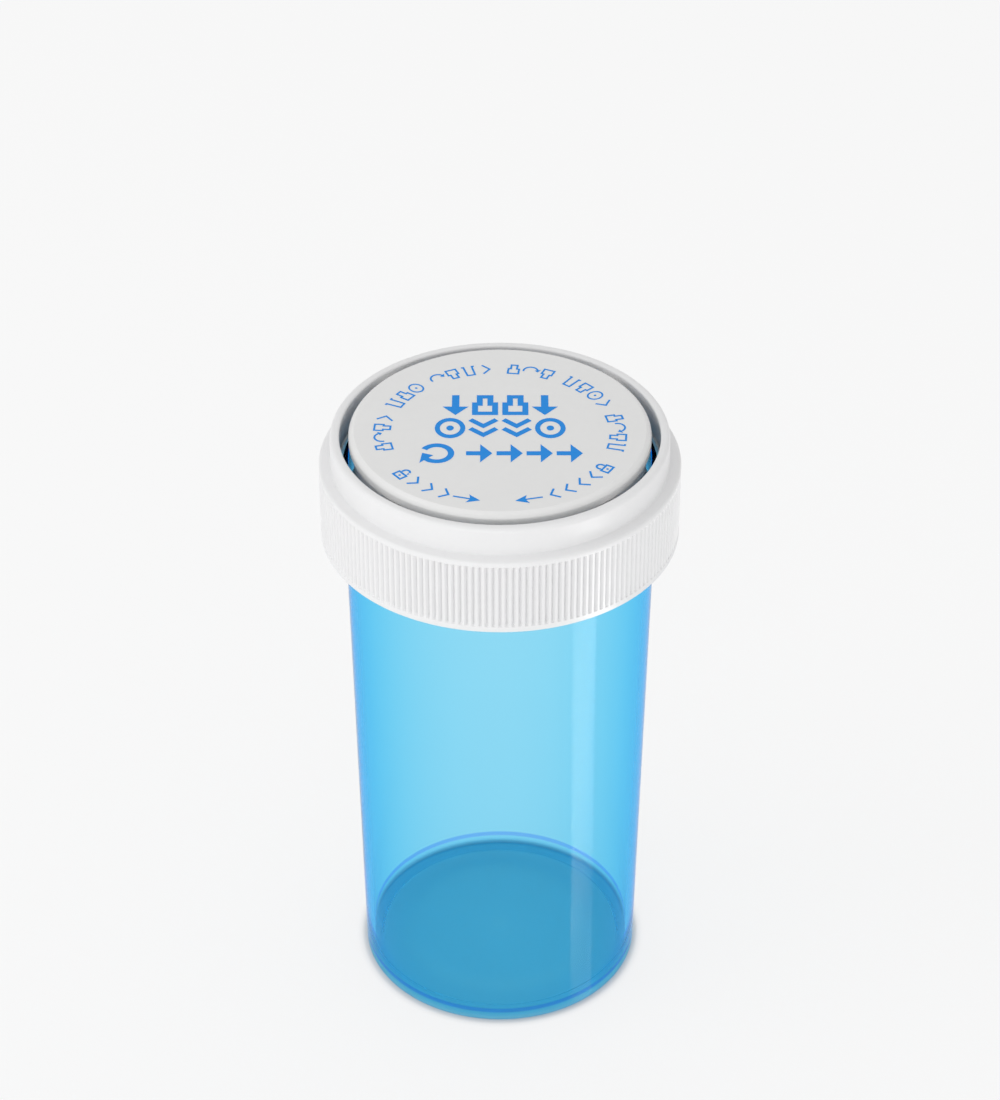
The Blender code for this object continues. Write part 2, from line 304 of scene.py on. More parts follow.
def tinted_plastic(sizes):
    """Clear moulded polypropylene with a blue tint, clearer where it is thin, with a painted shade line
    and a painted lit rim on the foot.
    """
    finish = Finish("tinted_plastic")
    place = finish.place()
    drawn = finish.stretched(place, (1.0, 1.0, 0.22))
    flow = finish.noise(drawn, 7.0 * MM, detail=3.0, roughness=0.55)
    clear = finish.mix(flow, (0.97, 0.985, 0.99), (0.99, 1.0, 1.0))
    share = finish.part_of(place, "Z") / FOOT_BAND
    radius = finish.length_of(finish.stretched(place, (1.0, 1.0, 0.0)))
    outside = finish.node("ShaderNodeMath", {"operation": "GREATER_THAN"},
                          {0: radius, 1: sizes.foot_radius - sizes.wall / 2})
    skin = finish.noise(place, 0.5 * MM, detail=2.0, roughness=0.6)
    # Painted light: a bluer rim on the foot's outer face, for light seen through the ring.
    rim = finish.mix(finish.ramp(FOOT_LIT_RIM, share) * outside, clear, LIT_RIM_TINT)
    finish.principled({
        # Painted shade: a dark line on the foot's outer face, where the foot bends light away.
        "Base Color": finish.mix(finish.ramp(FOOT_SHADE_LINE, share) * outside, rim, SHADE_LINE_TINT),
        "Roughness": 0.03 + 0.03 * flow,
        "IOR": CLEAR_INDEX,
        "Transmission Weight": 1.0,
        "Coat Weight": 0.05,
        "Coat Roughness": 0.06,
        "Coat IOR": GLOSS_INDEX,
        "Normal": finish.bump(flow + 0.05 * skin, 0.06 * MM, 0.35),
    })
    absorb = finish.node("ShaderNodeVolumeAbsorption", {},
                         {"Color": tuple(sizes.tint), "Density": sizes.density})
    finish.feed(finish.output.inputs["Volume"], absorb)
    return finish.material


def white_plastic(name, tone, roughness):
    """Satin white polypropylene with the fine grain of a spark-eroded mould."""
    finish = Finish(name)
    place = finish.place()
    cloud = finish.noise(place, 9.0 * MM, detail=3.0, roughness=0.6)
    grain = finish.noise(place, 0.16 * MM, detail=3.0, roughness=0.6)
    speck = finish.noise(place, 1.1 * MM)
    darker = tuple(0.955 * c for c in tone)
    lighter = tuple(min(1.0, 1.02 * c) for c in tone)
    finish.principled({
        "Base Color": finish.mix(0.6 * cloud + 0.4 * speck, darker, lighter),
        "Roughness": roughness + 0.16 * (grain - 0.5) + 0.06 * (cloud - 0.5),
        "IOR": 1.49,
        "Subsurface Weight": 0.12,
        "Subsurface Radius": (1.0, 1.0, 1.0),
        "Subsurface Scale": 0.6 * MM,
        "Normal": finish.bump(grain + 0.6 * speck, 0.012 * MM, 0.5),
    })
    return finish.material


def cap_plastic(cap):
    """The white plastic that the cap and its hub share."""
    name = "cap_plastic"
    return bpy.data.materials.get(name) or white_plastic(name, tuple(cap.white), 0.36)


def print_ink(tone):
    """Pad-printed ink: even, with a soft mottle and a slightly glossier skin."""
    finish = Finish("ink")
    place = finish.place()
    mottle = finish.noise(place, 0.35 * MM, detail=3.0, roughness=0.6)
    light = tuple(min(1.0, 1.18 * c + 0.008) for c in tone)
    finish.principled({
        "Base Color": finish.mix(mottle, tone, light),
        "Roughness": 0.30 + 0.12 * mottle,
        "IOR": 1.33,
        "Normal": finish.bump(mottle, 0.006 * MM, 0.4),
    })
    return finish.material


def milky_plastic(name, tone, roughness):
    """Uncoloured soft plastic, a little cloudy."""
    finish = Finish(name)
    place = finish.place()
    cloud = finish.noise(place, 4.0 * MM, detail=4.0, roughness=0.6)
    grain = finish.noise(place, 0.3 * MM)
    darker = tuple(0.9 * c for c in tone)
    finish.principled({
        "Base Color": finish.mix(cloud, darker, tone),
        "Roughness": roughness + 0.1 * (grain - 0.5),
        "IOR": 1.51,
        "Subsurface Weight": 0.35,
        "Subsurface Radius": (1.0, 1.0, 1.0),
        "Subsurface Scale": 1.2 * MM,
        "Normal": finish.bump(grain, 0.01 * MM, 0.4),
    })
    return finish.material


def rounded(corners, closed=False, parts=5):
    """Points of an outline from corners (radius, height, round), with each corner rounded off."""
    most = 0.49                    # of a side that one corner's round may take
    points = []
    last = len(corners) - 1
    for i, (r, z, fillet) in enumerate(corners):
        if fillet == 0 or (not closed and i in (0, last)):
            points.append((r, z))
            continue
        here = np.array((r, z))
        back = np.array(corners[i - 1][:2]) - here
        ahead = np.array(corners[(i + 1) % len(corners)][:2]) - here
        back_length, ahead_length = np.hypot(*back), np.hypot(*ahead)
        back, ahead = back / back_length, ahead / ahead_length
        half = 0.5 * math.acos(max(-1.0, min(1.0, float(back @ ahead))))
        reach = min(fillet / math.tan(half), most * min(back_length, ahead_length))
        inward = back + ahead
        centre = here + inward / np.hypot(*inward) * reach / math.cos(half)
        start = here + back * reach - centre
        sweep = math.pi - 2 * half
        turn = math.copysign(1.0, start[0] * ahead[1] - start[1] * ahead[0])
        for k in range(parts + 1):
            angle = turn * sweep * k / parts
            points.append((centre[0] + start[0] * math.cos(angle) - start[1] * math.sin(angle),
                           centre[1] + start[0] * math.sin(angle) + start[1] * math.cos(angle)))
    return guarded(points, closed)


def guarded(points, closed):
    """Add a point just inside both ends of every long run, so that flats shade flat."""
    guard = 0.1 * MM
    kept = []
    for i, here in enumerate(points):
        kept.append(here)
        if i == len(points) - 1 and not closed:
            break
        ahead = points[(i + 1) % len(points)]
        run = math.hypot(ahead[0] - here[0], ahead[1] - here[1])
        if run > 4 * guard:
            for share_of_run in (guard / run, 1.0 - guard / run):
                kept.append(tuple(a + (b - a) * share_of_run for a, b in zip(here, ahead)))
    return kept


def even_angles(count):
    """Equal turns round a circle."""
    return [math.tau * i / count for i in range(count)]


def angles_with_edges(count, edges_deg, run_deg):
    """Equal turns, with a close pair of columns at each edge where a side stands up."""
    least = 0.0005                 # radians between two columns
    angles = set(round(a, 6) for a in even_angles(count))
    for edge in edges_deg:
        for offset in (0.0, run_deg):
            angles.add(round(math.radians((edge + offset) % 360.0), 6))
    kept = []
    for angle in sorted(angles):
        if not kept or angle - kept[-1] > least:
            kept.append(angle)
    return kept


def turned(name, profile, angles, closed=False, reshape=None):
    """Turn an outline about Z; reshape(radii, heights, angles) may then move the radii.

    The outline runs down its outer side, so that the faces look out.
    """
    rows = np.array(profile)
    turns = np.array(angles)[None, :]
    heights = np.repeat(rows[:, 1:2], turns.shape[1], axis=1)
    radii = np.repeat(rows[:, 0:1], turns.shape[1], axis=1)
    if reshape is not None:
        radii = reshape(radii, heights, turns)
    points = np.stack((radii * np.cos(turns), radii * np.sin(turns), heights), axis=-1)
    columns = turns.shape[1]
    count = len(rows)
    row = np.arange(count if closed else count - 1)[:, None]
    column = np.arange(columns)[None, :]
    below, beside = (row + 1) % count, (column + 1) % columns
    faces = np.stack((row * columns + column, below * columns + column,
                      below * columns + beside, row * columns + beside), axis=-1)
    mesh = bpy.data.meshes.new(name)
    mesh.from_pydata(points.reshape(-1, 3).tolist(), [], faces.reshape(-1, 4).tolist())
    work = bmesh.new()
    work.from_mesh(mesh)
    bmesh.ops.remove_doubles(work, verts=work.verts, dist=POLE_WELD)
    work.to_mesh(mesh)
    work.free()
    piece = bpy.data.objects.new(name, mesh)
    bpy.context.scene.collection.objects.link(piece)
    mesh.shade_smooth()
    mesh.set_sharp_from_angle(angle=SHARP_EDGE)
    return piece


def settle(piece, body, node, material):
    """Give a piece its finish and its moving body, and hide the solid that it stands for."""
    piece.data.materials.clear()
    piece.data.materials.append(material)
    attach(piece, body)
    if node is not None:
        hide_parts(node)


def sector_mask(turns, middle_deg, half_deg, count=LUG_COUNT):
    """Where a turn lies inside one of the equal sectors round the axis."""
    slack = 0.0002
    pitch = math.tau / count
    offset = (turns - math.radians(middle_deg) + pitch / 2) % pitch - pitch / 2
    return np.abs(offset) <= math.radians(half_deg) + slack


def band_mask(heights, low, high):
    """Where a height lies inside a band."""
    tiny = 0.001 * MM
    return (heights >= low - tiny) & (heights <= high + tiny)


# Lugs, lock teeth and stops on the neck: middle and half width in degrees, from a lug's middle.
LUG = (0.0, 8.0)
TOOTH = (6.55, 0.75)
NECK_STOP = (-9.6, 0.7)
CAP_LUG = (0.0, 8.0)
CAP_PAWL = (4.0, 1.5)
EDGE_RUN_DEG = 0.15


def edges_of(*sectors, count=LUG_COUNT):
    """The angles at which sectors begin and end, just outside and at each edge."""
    edges = []
    for k in range(count):
        for middle, half in sectors:
            centre = middle + 360.0 / count * k
            edges += [centre - half - EDGE_RUN_DEG, centre + half]
    return edges


class VIAL_OT_body(bpy.types.Operator):
    """Make the tinted vial"""

    bl_idname = "vial.body"
    bl_label = "Vial body"

    def execute(self, context):
        sizes = context.scene.vial_sizes
        tooth_low = sizes.lug_height - 1.0 * MM
        stop_low = sizes.lug_height - 3.0 * MM
        lug_top = sizes.lug_height + sizes.lug_thickness
        piece = turned("vial", self.outline(sizes, (tooth_low, stop_low, lug_top)),
                       angles_with_edges(256, edges_of(LUG, TOOTH, NECK_STOP), EDGE_RUN_DEG),
                       reshape=lambda *rows: self.with_lugs(*rows, sizes, tooth_low, stop_low, lug_top))
        settle(piece, "vial", "vial_body", tinted_plastic(sizes))
        return {"FINISHED"}

    def outline(self, sizes, edges):
        """The wall's section, from the floor's inside over the rim to the floor's underside."""
        floor_z = sizes.floor_recess
        middle_z = floor_z + sizes.floor_step
        ring_out = sizes.foot_radius - sizes.heel
        ring_in = ring_out - sizes.foot_width
        bore_foot = sizes.foot_radius - sizes.wall
        bore_neck = sizes.neck_radius - sizes.wall
        slope = 1.9 * MM
        rim_z = VIAL_HIGH.z
        gate = 1.5 * MM
        inside = [
            (0.0, middle_z + sizes.floor, 0.0),
            (sizes.floor_step_radius - slope, middle_z + sizes.floor, 4.0 * MM),
            (sizes.floor_step_radius, floor_z + sizes.floor, 4.0 * MM),
            (bore_foot, floor_z + sizes.floor, 0.45 * MM),
            (bore_neck, sizes.neck_height - 0.8 * MM, 0.5 * MM),
            (sizes.ledge_radius, sizes.ledge_height - 1.2 * MM, 0.3 * MM),
            (sizes.ledge_radius, sizes.ledge_height, 0.12 * MM),
            (sizes.mouth_radius, sizes.ledge_height, 0.12 * MM),
            (sizes.mouth_radius, rim_z, 0.38 * MM),
            (sizes.neck_radius, rim_z, 0.38 * MM),
        ]
        neck = []
        for z in sorted({e + s for e in (*edges, sizes.lug_height) for s in (0.0, STEP, -STEP)},
                        reverse=True):
            if z > sizes.neck_height:
                radius = sizes.neck_radius
            else:
                taper = (sizes.neck_radius - sizes.foot_radius) / (sizes.neck_height - sizes.heel)
                radius = sizes.neck_radius - taper * (sizes.neck_height - z)
            neck.append((radius, z, 0.0))
        outside = [
            (sizes.foot_radius, 0.0, sizes.heel),
            (ring_in, 0.0, 0.25 * MM),
            (ring_in - 0.4 * MM, floor_z, 0.25 * MM),
            (sizes.floor_step_radius, floor_z, 4.0 * MM),
            (sizes.floor_step_radius - slope, middle_z, 4.0 * MM),
            (gate, middle_z, 0.15 * MM),
            (gate - 0.6 * MM, middle_z + 0.15 * MM, 0.15 * MM),
            (0.0, middle_z + 0.15 * MM, 0.0),
        ]
        return rounded(inside + neck + outside)

    def with_lugs(self, radii, heights, turns, sizes, tooth_low, stop_low, lug_top):
        """Raise the lugs, the lock teeth and the stops from the neck's outside."""
        outer = radii > sizes.mouth_radius + 0.3 * MM
        lug_r = VIAL_HIGH.x
        lug = sector_mask(turns, *LUG) & band_mask(heights, sizes.lug_height, lug_top)
        tooth = sector_mask(turns, *TOOTH) & band_mask(heights, tooth_low, sizes.lug_height)
        stop = sector_mask(turns, *NECK_STOP) & band_mask(heights, stop_low, lug_top)
        radii = np.where(outer & (lug | stop), lug_r, radii)
        return np.where(outer & tooth & ~(lug | stop), lug_r - 0.2 * MM, radii)


class VIAL_OT_seal(bpy.types.Operator):
    """Make the soft plug that seals the mouth"""

    bl_idname = "vial.seal"
    bl_label = "Seal"

    def execute(self, context):
        sizes = context.scene.vial_sizes
        seat = sizes.ledge_height + 0.3 * MM
        lip_r = sizes.ledge_radius - 0.3 * MM
        lip_in = lip_r - 0.95 * MM
        ceiling = SEAL_HIGH.z - 0.8 * MM
        outline = rounded([
            (0.0, SEAL_HIGH.z - 0.3 * MM, 0.0),
            (10.5 * MM, SEAL_HIGH.z - 0.3 * MM, 0.3 * MM),
            (11.2 * MM, SEAL_HIGH.z, 0.3 * MM),
            (SEAL_HIGH.x, SEAL_HIGH.z, 0.3 * MM),
            (SEAL_HIGH.x - 0.06 * MM, SEAL_HIGH.z - 0.75 * MM, 0.3 * MM),
            (SEAL_HIGH.x, seat, 0.15 * MM),
            (lip_r, seat, 0.1 * MM),
            (lip_r, seat - 1.0 * MM, 0.3 * MM),
            (lip_r - 0.25 * MM, SEAL_LOW.z, 0.2 * MM),
            (lip_in, SEAL_LOW.z, 0.2 * MM),
            (lip_in, ceiling, 0.5 * MM),
            (0.0, ceiling, 0.0),
        ])
        piece = turned("mouth_seal", outline, even_angles(192))
        settle(piece, "liner", "seal_liner",
               milky_plastic("milky_plastic", (0.80, 0.84, 0.86), 0.32))
        return {"FINISHED"}


class VIAL_OT_spring(bpy.types.Operator):
    """Make the wave spring that holds the cap up"""

    bl_idname = "vial.spring"
    bl_label = "Wave spring"

    def execute(self, context):
        thick = 0.5 * MM
        waves = 6
        bore = SPRING_HIGH.x - 3.4 * MM
        middle = (SPRING_LOW.z + SPRING_HIGH.z) / 2
        swing = (SPRING_HIGH.z - SPRING_LOW.z - thick) / 2
        edge = 0.18 * MM
        outline = rounded([
            (SPRING_HIGH.x, middle + thick / 2, edge),
            (SPRING_HIGH.x, middle - thick / 2, edge),
            (bore, middle - thick / 2, edge),
            (bore, middle + thick / 2, edge),
        ], closed=True, parts=4)
        piece = turned("wave_spring_ring", outline, even_angles(240), closed=True)
        for vert in piece.data.vertices:
            vert.co.z += swing * math.cos(waves * math.atan2(vert.co.y, vert.co.x))
        settle(piece, "spring", "wave_spring",
               milky_plastic("spring_plastic", (0.74, 0.75, 0.75), 0.42))
        keep = 1.0 - PUSH_TRAVEL / (SPRING_HIGH.z - SPRING_LOW.z)
        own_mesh(piece)
        return {"FINISHED"}


class VIAL_OT_cap(bpy.types.Operator):
    """Make the ribbed cap with its lugs and pawls"""

    bl_idname = "vial.cap"
    bl_label = "Cap shell"

    def execute(self, context):
        cap = context.scene.cap_sizes
        vial = context.scene.vial_sizes
        per_rib = 6
        piece = turned("cap", self.outline(cap, vial), even_angles(per_rib * cap.rib_count),
                       closed=True, reshape=lambda *rows: self.carved(*rows, cap, vial))
        settle(piece, "cap", "cap_shell", cap_plastic(cap))
        return {"FINISHED"}

    @staticmethod
    def lug_heights(vial):
        """Foot and top of the cap's lugs, and top of its pawls."""
        pawl_top = vial.lug_height - 0.3 * MM
        lug_top = pawl_top - 1.0 * MM
        return lug_top - 1.3 * MM, lug_top, pawl_top

    def outline(self, cap, vial):
        """The wall's section, from the collar's top down the outside and up the inside."""
        skirt_r = CAP_HIGH.x
        top, foot = CAP_HIGH.z, CAP_LOW.z
        outside = [
            (cap.collar_bore, top, 0.3 * MM),
            (cap.collar_radius, top, 0.72 * MM),
            (cap.collar_radius + 0.05 * MM, cap.shoulder_height, 0.16 * MM),
            (skirt_r, cap.shoulder_height - 0.2 * MM, 0.42 * MM),
        ]
        ribs = [(skirt_r, cap.rib_high - s * RIB_RUN, 0.0) for s in (0.0, 0.25, 0.5, 0.75, 1.0)]
        ribs += [(skirt_r, cap.rib_low + s * RIB_RUN, 0.0) for s in (1.0, 0.75, 0.5, 0.25, 0.0)]
        hem = [
            (skirt_r, foot, 0.4 * MM),
            (cap.skirt_bore, foot, 0.3 * MM),
        ]
        heights = {z + s for z in self.lug_heights(vial) for s in (0.0, STEP, -STEP)}
        bore = [(cap.skirt_bore, z, 0.0) for z in sorted(heights)]
        roof = [
            (cap.skirt_bore, cap.roof_height, 0.4 * MM),
            (cap.collar_bore, cap.roof_height, 0.25 * MM),
        ]
        return rounded(outside + ribs + hem + bore + roof, closed=True)

    def carved(self, radii, heights, turns, cap, vial):
        """Cut the grooves between the ribs, and raise the lugs and pawls inside."""
        crest = 0.1                # of a rib's swing, left plain
        outer = radii > (cap.skirt_bore + CAP_HIGH.x) / 2
        nearest_end = np.minimum(cap.rib_high - heights, heights - cap.rib_low)
        fade = np.clip(nearest_end / RIB_RUN, 0.0, 1.0)
        phase = (turns * cap.rib_count / math.tau) % 1.0
        groove = np.clip((-np.cos(math.tau * phase) - crest) / (1.0 - crest), 0.0, 1.0)
        radii = radii - np.where(outer, cap.rib_depth * np.sqrt(fade) * groove, 0.0)
        lug_low, lug_top, pawl_top = self.lug_heights(vial)
        inner = radii < cap.skirt_bore + 0.05 * MM
        lug = sector_mask(turns, *CAP_LUG) & band_mask(heights, lug_low, lug_top)
        pawl = sector_mask(turns, *CAP_PAWL) & band_mask(heights, lug_low, pawl_top)
        lug_r = vial.neck_radius + 0.45 * MM
        return np.where(inner & (lug | pawl), lug_r, radii)


class VIAL_OT_hub(bpy.types.Operator):
    """Make the hub and its spokes, which carry the disc in the collar"""

    bl_idname = "vial.hub"
    bl_label = "Cap hub"

    def execute(self, context):
        cap = context.scene.cap_sizes
        low, high = SPRING_HIGH.z + 0.3 * MM, DISC_LOW.z + 1.6 * MM
        spoke_low = VIAL_HIGH.z + PUSH_TRAVEL + 0.3 * MM
        spoke_high = spoke_low + 0.9 * MM
        corners = [(cap.hub_bore, high, 0.2 * MM), (cap.hub_radius, high, 0.0)]
        for z in (spoke_high + STEP, spoke_high, spoke_low, spoke_low - STEP):
            corners.append((cap.hub_radius, z, 0.0))
        corners += [(cap.hub_radius, low, 0.25 * MM), (cap.hub_bore, low, 0.2 * MM)]
        spoke = (45.0, 5.0)

        def with_spokes(radii, heights, turns):
            on_spoke = sector_mask(turns, *spoke, count=4) & band_mask(heights, spoke_low, spoke_high)
            outer = radii > cap.hub_radius - 0.05 * MM
            return np.where(outer & on_spoke, cap.collar_bore + 0.25 * MM, radii)

        piece = turned("cap_hub", rounded(corners, closed=True),
                       angles_with_edges(192, edges_of(spoke, count=4), EDGE_RUN_DEG), closed=True,
                       reshape=with_spokes)
        settle(piece, "cap", None, cap_plastic(cap))
        return {"FINISHED"}


INK_THICKNESS = 0.02 * MM
PRINT_CENTRE = -1.1 * MM           # middle of the print's ring, along Y


class VIAL_OT_disc(bpy.types.Operator):
    """Make the round disc in the collar"""

    bl_idname = "vial.disc"
    bl_label = "Disc"

    def execute(self, context):
        cap = context.scene.cap_sizes
        radius = DISC_HIGH.x
        top = DISC_HIGH.z - INK_THICKNESS
        seat = DISC_LOW.z + 1.9 * MM
        spigot = cap.hub_bore - 0.3 * MM
        wall = 1.2 * MM
        ceiling = DISC_HIGH.z - 1.2 * MM
        outline = rounded([
            (0.0, top, 0.0),
            (cap.face_radius + 0.06 * MM, top, 0.14 * MM),
            (cap.face_radius + 0.55 * MM, top - 0.34 * MM, 0.8 * MM),
            (radius, top - 0.72 * MM, 0.5 * MM),
            (radius, seat, 0.2 * MM),
            (spigot, seat, 0.1 * MM),
            (spigot, DISC_LOW.z, 0.2 * MM),
            (spigot - wall, DISC_LOW.z, 0.2 * MM),
            (spigot - wall, ceiling, 0.4 * MM),
            (0.0, ceiling, 0.0),
        ], parts=6)
        piece = turned("disc", outline, even_angles(256))
        settle(piece, "cap", "top_plug",
               white_plastic("disc_plastic", tuple(cap.disc_white), 0.40))
        return {"FINISHED"}


def stroke(path, width, closed=False):
    """Outlines of a line of even width along a path of (x, y) points."""
    points = [np.array(p, float) for p in path]
    count = len(points)
    left, right = [], []
    for i, here in enumerate(points):
        before = points[i - 1] if (i > 0 or closed) else None
        after = points[(i + 1) % count] if (i < count - 1 or closed) else None
        sides = []
        if before is not None:
            sides.append((here - before) / np.hypot(*(here - before)))
        if after is not None:
            sides.append((after - here) / np.hypot(*(after - here)))
        normals = [np.array((-s[1], s[0])) for s in sides]
        if len(normals) == 1:
            offset = normals[0] * width / 2
        else:
            bisector = normals[0] + normals[1]
            bisector = bisector / np.hypot(*bisector)
            offset = bisector * width / 2 / max(0.35, float(bisector @ normals[0]))
        left.append(tuple(here + offset))
        right.append(tuple(here - offset))
    if closed:
        return [left, right]
    return [left + right[::-1]]


def on_circle(radius, angle_deg, centre):
    """One point of a circle."""
    angle = math.radians(angle_deg)
    return (centre[0] + radius * math.cos(angle), centre[1] + radius * math.sin(angle))


def curve_points(radius, start_deg, end_deg, parts, centre):
    """Points along part of a circle."""
    sweep = end_deg - start_deg
    return [on_circle(radius, start_deg + sweep * i / parts, centre) for i in range(parts + 1)]


# Marks are drawn in a cell one unit high, standing on y = 0 and centred on x = 0.

def mark_down(line, half=0.36, head=0.42):
    """A block arrow that points down."""
    shaft = line * 0.62
    side = [(shaft, 1.0), (shaft, head), (half, head), (0.0, 0.0)]
    return [side + [(-x, y) for x, y in side[-2::-1]]]


def mark_right(line):
    """A block arrow that points right."""
    width = 0.68
    down = mark_down(0.9 * line, half=0.42, head=0.46)
    return [[(width * (0.5 - y), 0.5 + x) for x, y in loop] for loop in down]


def mark_down_twice(line):
    """Two chevrons that point down, one over the other."""
    half = 0.36
    loops = []
    for foot in (0.06, 0.5):
        loops += stroke([(-half, foot + 0.42), (0.0, foot + 0.1), (half, foot + 0.42)], line)
    return loops


def mark_next(line):
    """A chevron that points right."""
    half = 0.2
    return stroke([(-half, 0.95), (half, 0.5), (-half, 0.05)], line)


def mark_back(line):
    """A chevron that points left."""
    return [[(-x, y) for x, y in loop] for loop in mark_next(line)]


def mark_cap(line):
    """A cap seen from the side."""
    half = 0.36
    inset = line / 2
    wide, narrow = half - inset, half - inset - 0.13
    side = [(wide, inset), (wide, 0.55), (narrow, 0.55), (narrow, 1 - inset)]
    return stroke(side + [(-x, y) for x, y in side[::-1]], line, closed=True)


def mark_cap_over(line):
    """A cap turned over."""
    return [[(x, 1.0 - y) for x, y in loop] for loop in mark_cap(line)]


def mark_vial(line):
    """An open vial seen from the side."""
    inset = line / 2
    return stroke([(-0.38, 1 - inset), (-0.25, 1 - inset), (-0.22, inset),
                   (0.22, inset), (0.25, 1 - inset), (0.38, 1 - inset)], line)


def mark_ring(line):
    """A cap seen from above."""
    loops = stroke(curve_points(0.5 - line / 2, 0, 345, 23, (0.0, 0.5)), line, closed=True)
    loops.append(curve_points(line * 0.75, 0, 330, 11, (0.0, 0.5)))
    return [[(0.84 * x, y) for x, y in loop] for loop in loops]


def mark_turn(line, start_deg=150.0, end_deg=-135.0, head=1.5):
    """A round arrow, from one angle to another."""
    centre = (0.0, 0.5)
    radius = 0.5 - line * 0.75
    outer = curve_points(radius + line / 2, start_deg, end_deg, 20, centre)
    inner = curve_points(radius - line / 2, end_deg, start_deg, 20, centre)
    way = math.copysign(1.0, end_deg - start_deg)
    tip = end_deg + way * math.degrees(1.9 * line / radius)
    barb = head * line
    arrow = [on_circle(radius + barb, end_deg, centre), on_circle(radius, tip, centre),
             on_circle(radius - barb, end_deg, centre)]
    return [outer + arrow + inner]


def mark_flip(line):
    """An arrow that turns over to the right."""
    return mark_turn(line, 195.0, 25.0, 1.7)


def mark_lock(line, lifted=0.0):
    """A padlock, with its shackle lifted if it is open."""
    inset = line / 2
    loops = stroke([(-0.32, inset), (-0.32, 0.5), (0.32, 0.5), (0.32, inset)], line, closed=True)
    loops.append(curve_points(line * 0.6, 0, 330, 11, (0.0, 0.27)))
    legs = 0.52 + line / 2
    radius = 0.21
    top = 0.99 - radius - inset
    path = [(-radius, legs)] + curve_points(radius, 180, 0, 12, (0.0, top))
    path.append((radius, legs + lifted))
    return loops + stroke(path, line)


def mark_open_lock(line):
    """A padlock with one leg of its shackle free."""
    return mark_lock(line, 0.16)


def pointer():
    """The slim arrow with a swept head, one unit long, that points right."""
    return [[(-0.5, -0.035), (0.12, -0.035), (0.03, -0.25), (0.5, 0.0), (0.03, 0.25), (0.12, 0.035),
             (-0.5, 0.035)]]


def on_line(loops, x, y, height):
    """Stand a mark on a straight line of the print."""
    return [[(x + height * u, y + height * v) for u, v in loop] for loop in loops]


def on_ring(loops, centre_y, radius, angle_deg, height, tops_out=True):
    """Stand a mark on the print's ring, with its top away from or towards the middle."""
    angle = math.radians(angle_deg)
    out = np.array((math.cos(angle), math.sin(angle)))
    along = np.array((out[1], -out[0]))
    if not tops_out:
        out, along = -out, -along
    foot = np.array((0.0, centre_y)) + radius * np.array((math.cos(angle), math.sin(angle)))
    return [[tuple(foot + height * (u * along + v * out)) for u, v in loop] for loop in loops]


